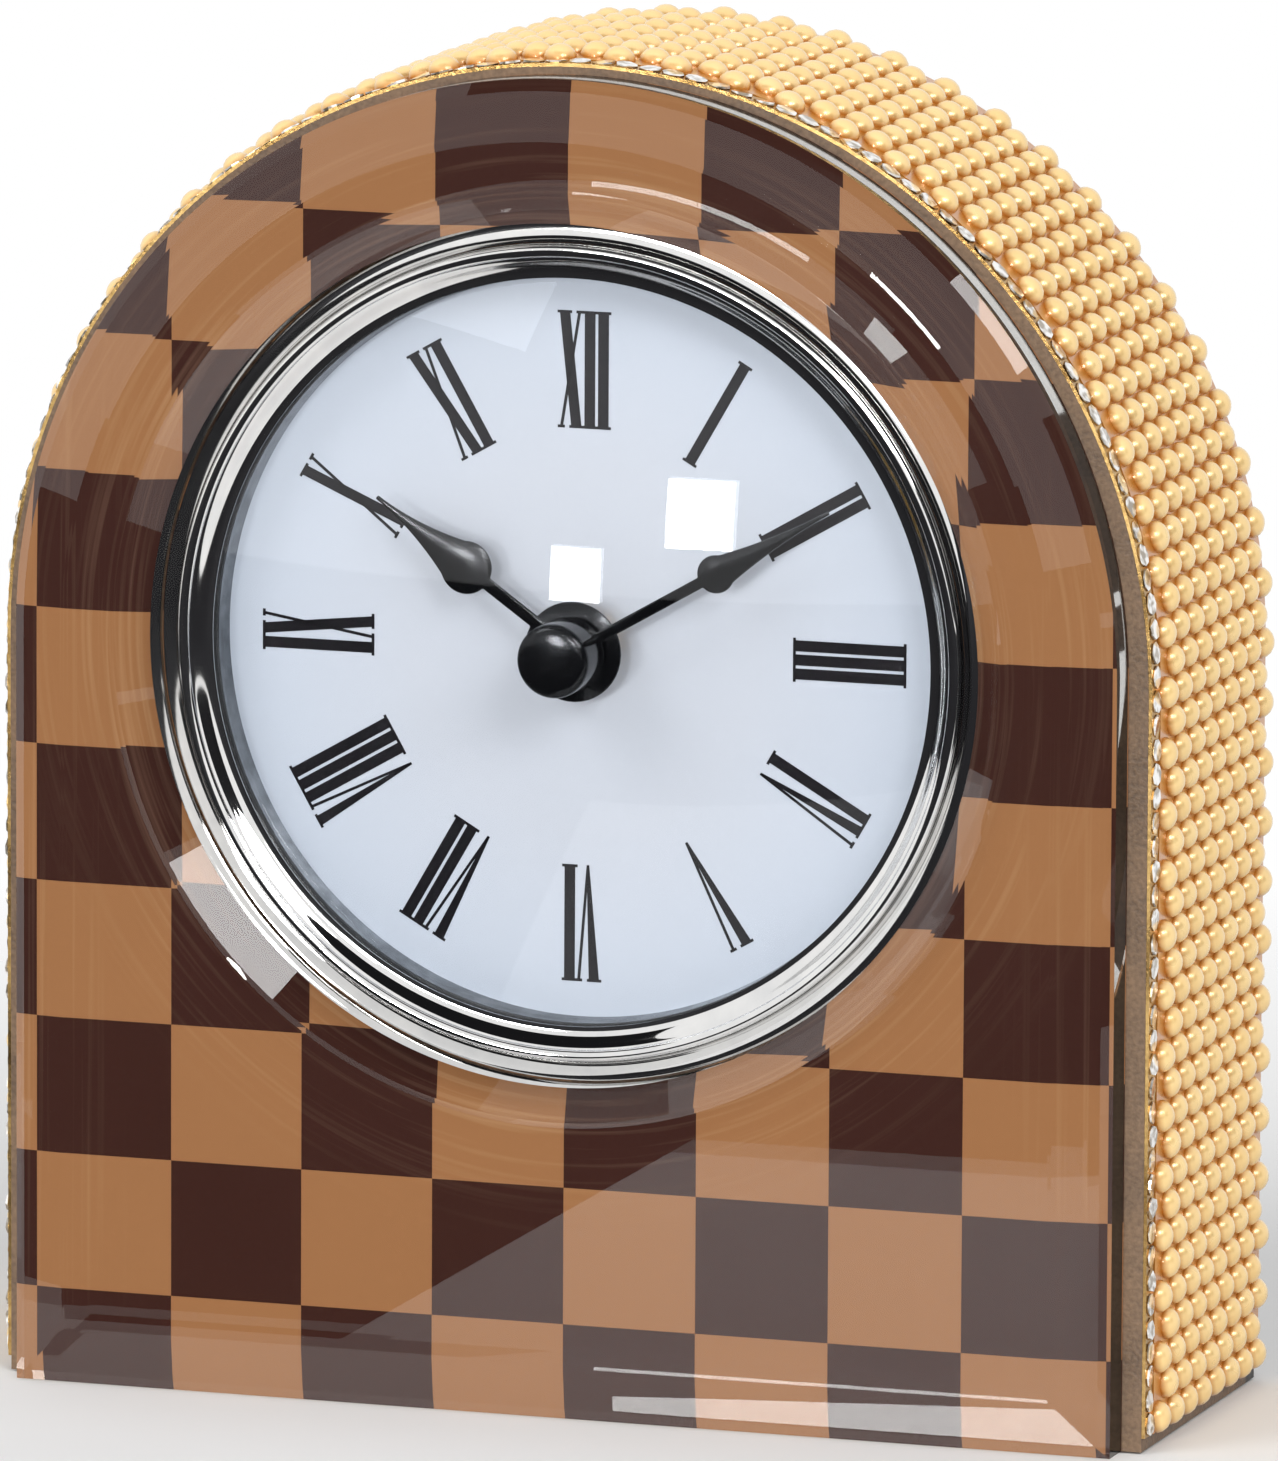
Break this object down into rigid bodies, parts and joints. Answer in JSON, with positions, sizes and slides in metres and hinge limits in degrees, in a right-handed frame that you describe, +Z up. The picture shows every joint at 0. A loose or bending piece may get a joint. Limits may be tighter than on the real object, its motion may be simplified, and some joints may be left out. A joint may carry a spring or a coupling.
{
  "type": "shelf clock",
  "caption": "Arched shelf clock with a bevelled glass front, pearl-covered sides and a round quartz insert whose geared hands are set from a knob at the back.",
  "frame": {"origin": "on the table, under the middle of the case's width and of its depth without the domed lens", "axes": "+Z up, -Y out of the glass front towards the viewer, +X to the viewer's right"},
  "size_m": [0.1226, 0.0474, 0.1365],
  "materials": {
    "plate_glass": "clear polished plate glass with ground hole wall",
    "print_film": "printed square checks in dark brown and tan",
    "case_board": "painted fibre board, grey-brown",
    "back_board": "black velvet over thin board",
    "screw_steel": "plated steel",
    "pearl": "champagne pearl lacquer",
    "crystal_trim": "faceted clear stones in gold cups",
    "bezel_chrome": "bright plated",
    "lens_glass": "clear domed glass",
    "gasket_rubber": "matte",
    "reveal_metal": "bright plated",
    "dial_card": "satin pale blue-white enamel",
    "cup_metal": "lacquered sheet steel",
    "grip_rubber": "translucent soft band",
    "movement_plastic": "fine moulded texture",
    "wheel_brass": "machined",
    "wheel_plastic": "moulded",
    "stator_steel": "stamped",
    "bobbin_plastic": "moulded",
    "coil_wire": "enamelled copper wire",
    "board": "solder mask",
    "contact_metal": "nickel plated",
    "battery_shell": "plain wrapped cell",
    "knob_plastic": "moulded, fluted",
    "hand_black": "gloss black"
  },
  "bodies": {
    "case": {"glass_front": "plate_glass", "checker_print": "print_film", "case_body": "case_board", "back_panel": "back_board", "back_screws": "screw_steel", "pearl_wrap": "pearl", "rhinestone_trim": "crystal_trim", "bezel_ring": "bezel_chrome", "lens": "lens_glass", "lens_gasket": "gasket_rubber", "reveal_ring": "reveal_metal", "dial": "dial_card", "insert_cup": "cup_metal", "grip_ring": "grip_rubber", "movement_plate": "movement_plastic", "movement_cover": "movement_plastic", "train_plate": "movement_plastic", "stator": "stator_steel", "coil_bobbin": "bobbin_plastic", "coil_winding": "coil_wire", "circuit_board": "board", "crystal": "contact_metal", "battery": "battery_shell", "contact_negative": "contact_metal", "contact_positive": "contact_metal", "nut_washer": "wheel_brass", "fixing_nut": "wheel_brass"},
    "minute": {"centre_wheel": "wheel_brass", "minute_hand": "hand_black", "hand_cap": "hand_black"},
    "hour": {"hour_wheel": "wheel_plastic", "hour_hand": "hand_black"},
    "motion": {"motion_wheel": "wheel_plastic"},
    "intermediate": {"intermediate_wheel": "wheel_plastic"},
    "rotor": {"rotor": "wheel_plastic"},
    "knob": {"setting_knob": "knob_plastic"}
  },
  "joints": [
    {"name": "minute_turn", "type": "hinge", "parent": "case", "child": "minute", "pos_m": [0, 0, 0.0765], "axis": [0, 1, 0], "continuous": true},
    {"name": "hour_turn", "type": "hinge", "parent": "case", "child": "hour", "pos_m": [0, 0, 0.0765], "axis": [0, 1, 0], "continuous": true},
    {"name": "motion_turn", "type": "hinge", "parent": "case", "child": "motion", "pos_m": [0.01039, 0, 0.0825], "axis": [0, 1, 0], "continuous": true},
    {"name": "knob_turn", "type": "hinge", "parent": "case", "child": "knob", "pos_m": [0.01639, 0, 0.09289], "axis": [0, 1, 0], "continuous": true},
    {"name": "intermediate_turn", "type": "hinge", "parent": "case", "child": "intermediate", "pos_m": [-0.01143, 0, 0.0831], "axis": [0, 1, 0], "continuous": true},
    {"name": "rotor_turn", "type": "hinge", "parent": "case", "child": "rotor", "pos_m": [-0.00793, 0, 0.08916], "axis": [0, 1, 0], "continuous": true}
  ],
  "couplings": [
    {"joint": "hour_turn", "follows": "minute_turn", "ratio": 0.083333},
    {"joint": "motion_turn", "follows": "minute_turn", "ratio": -0.33333},
    {"joint": "knob_turn", "follows": "minute_turn", "ratio": 1},
    {"joint": "intermediate_turn", "follows": "minute_turn", "ratio": -10},
    {"joint": "rotor_turn", "follows": "minute_turn", "ratio": 60}
  ]
}
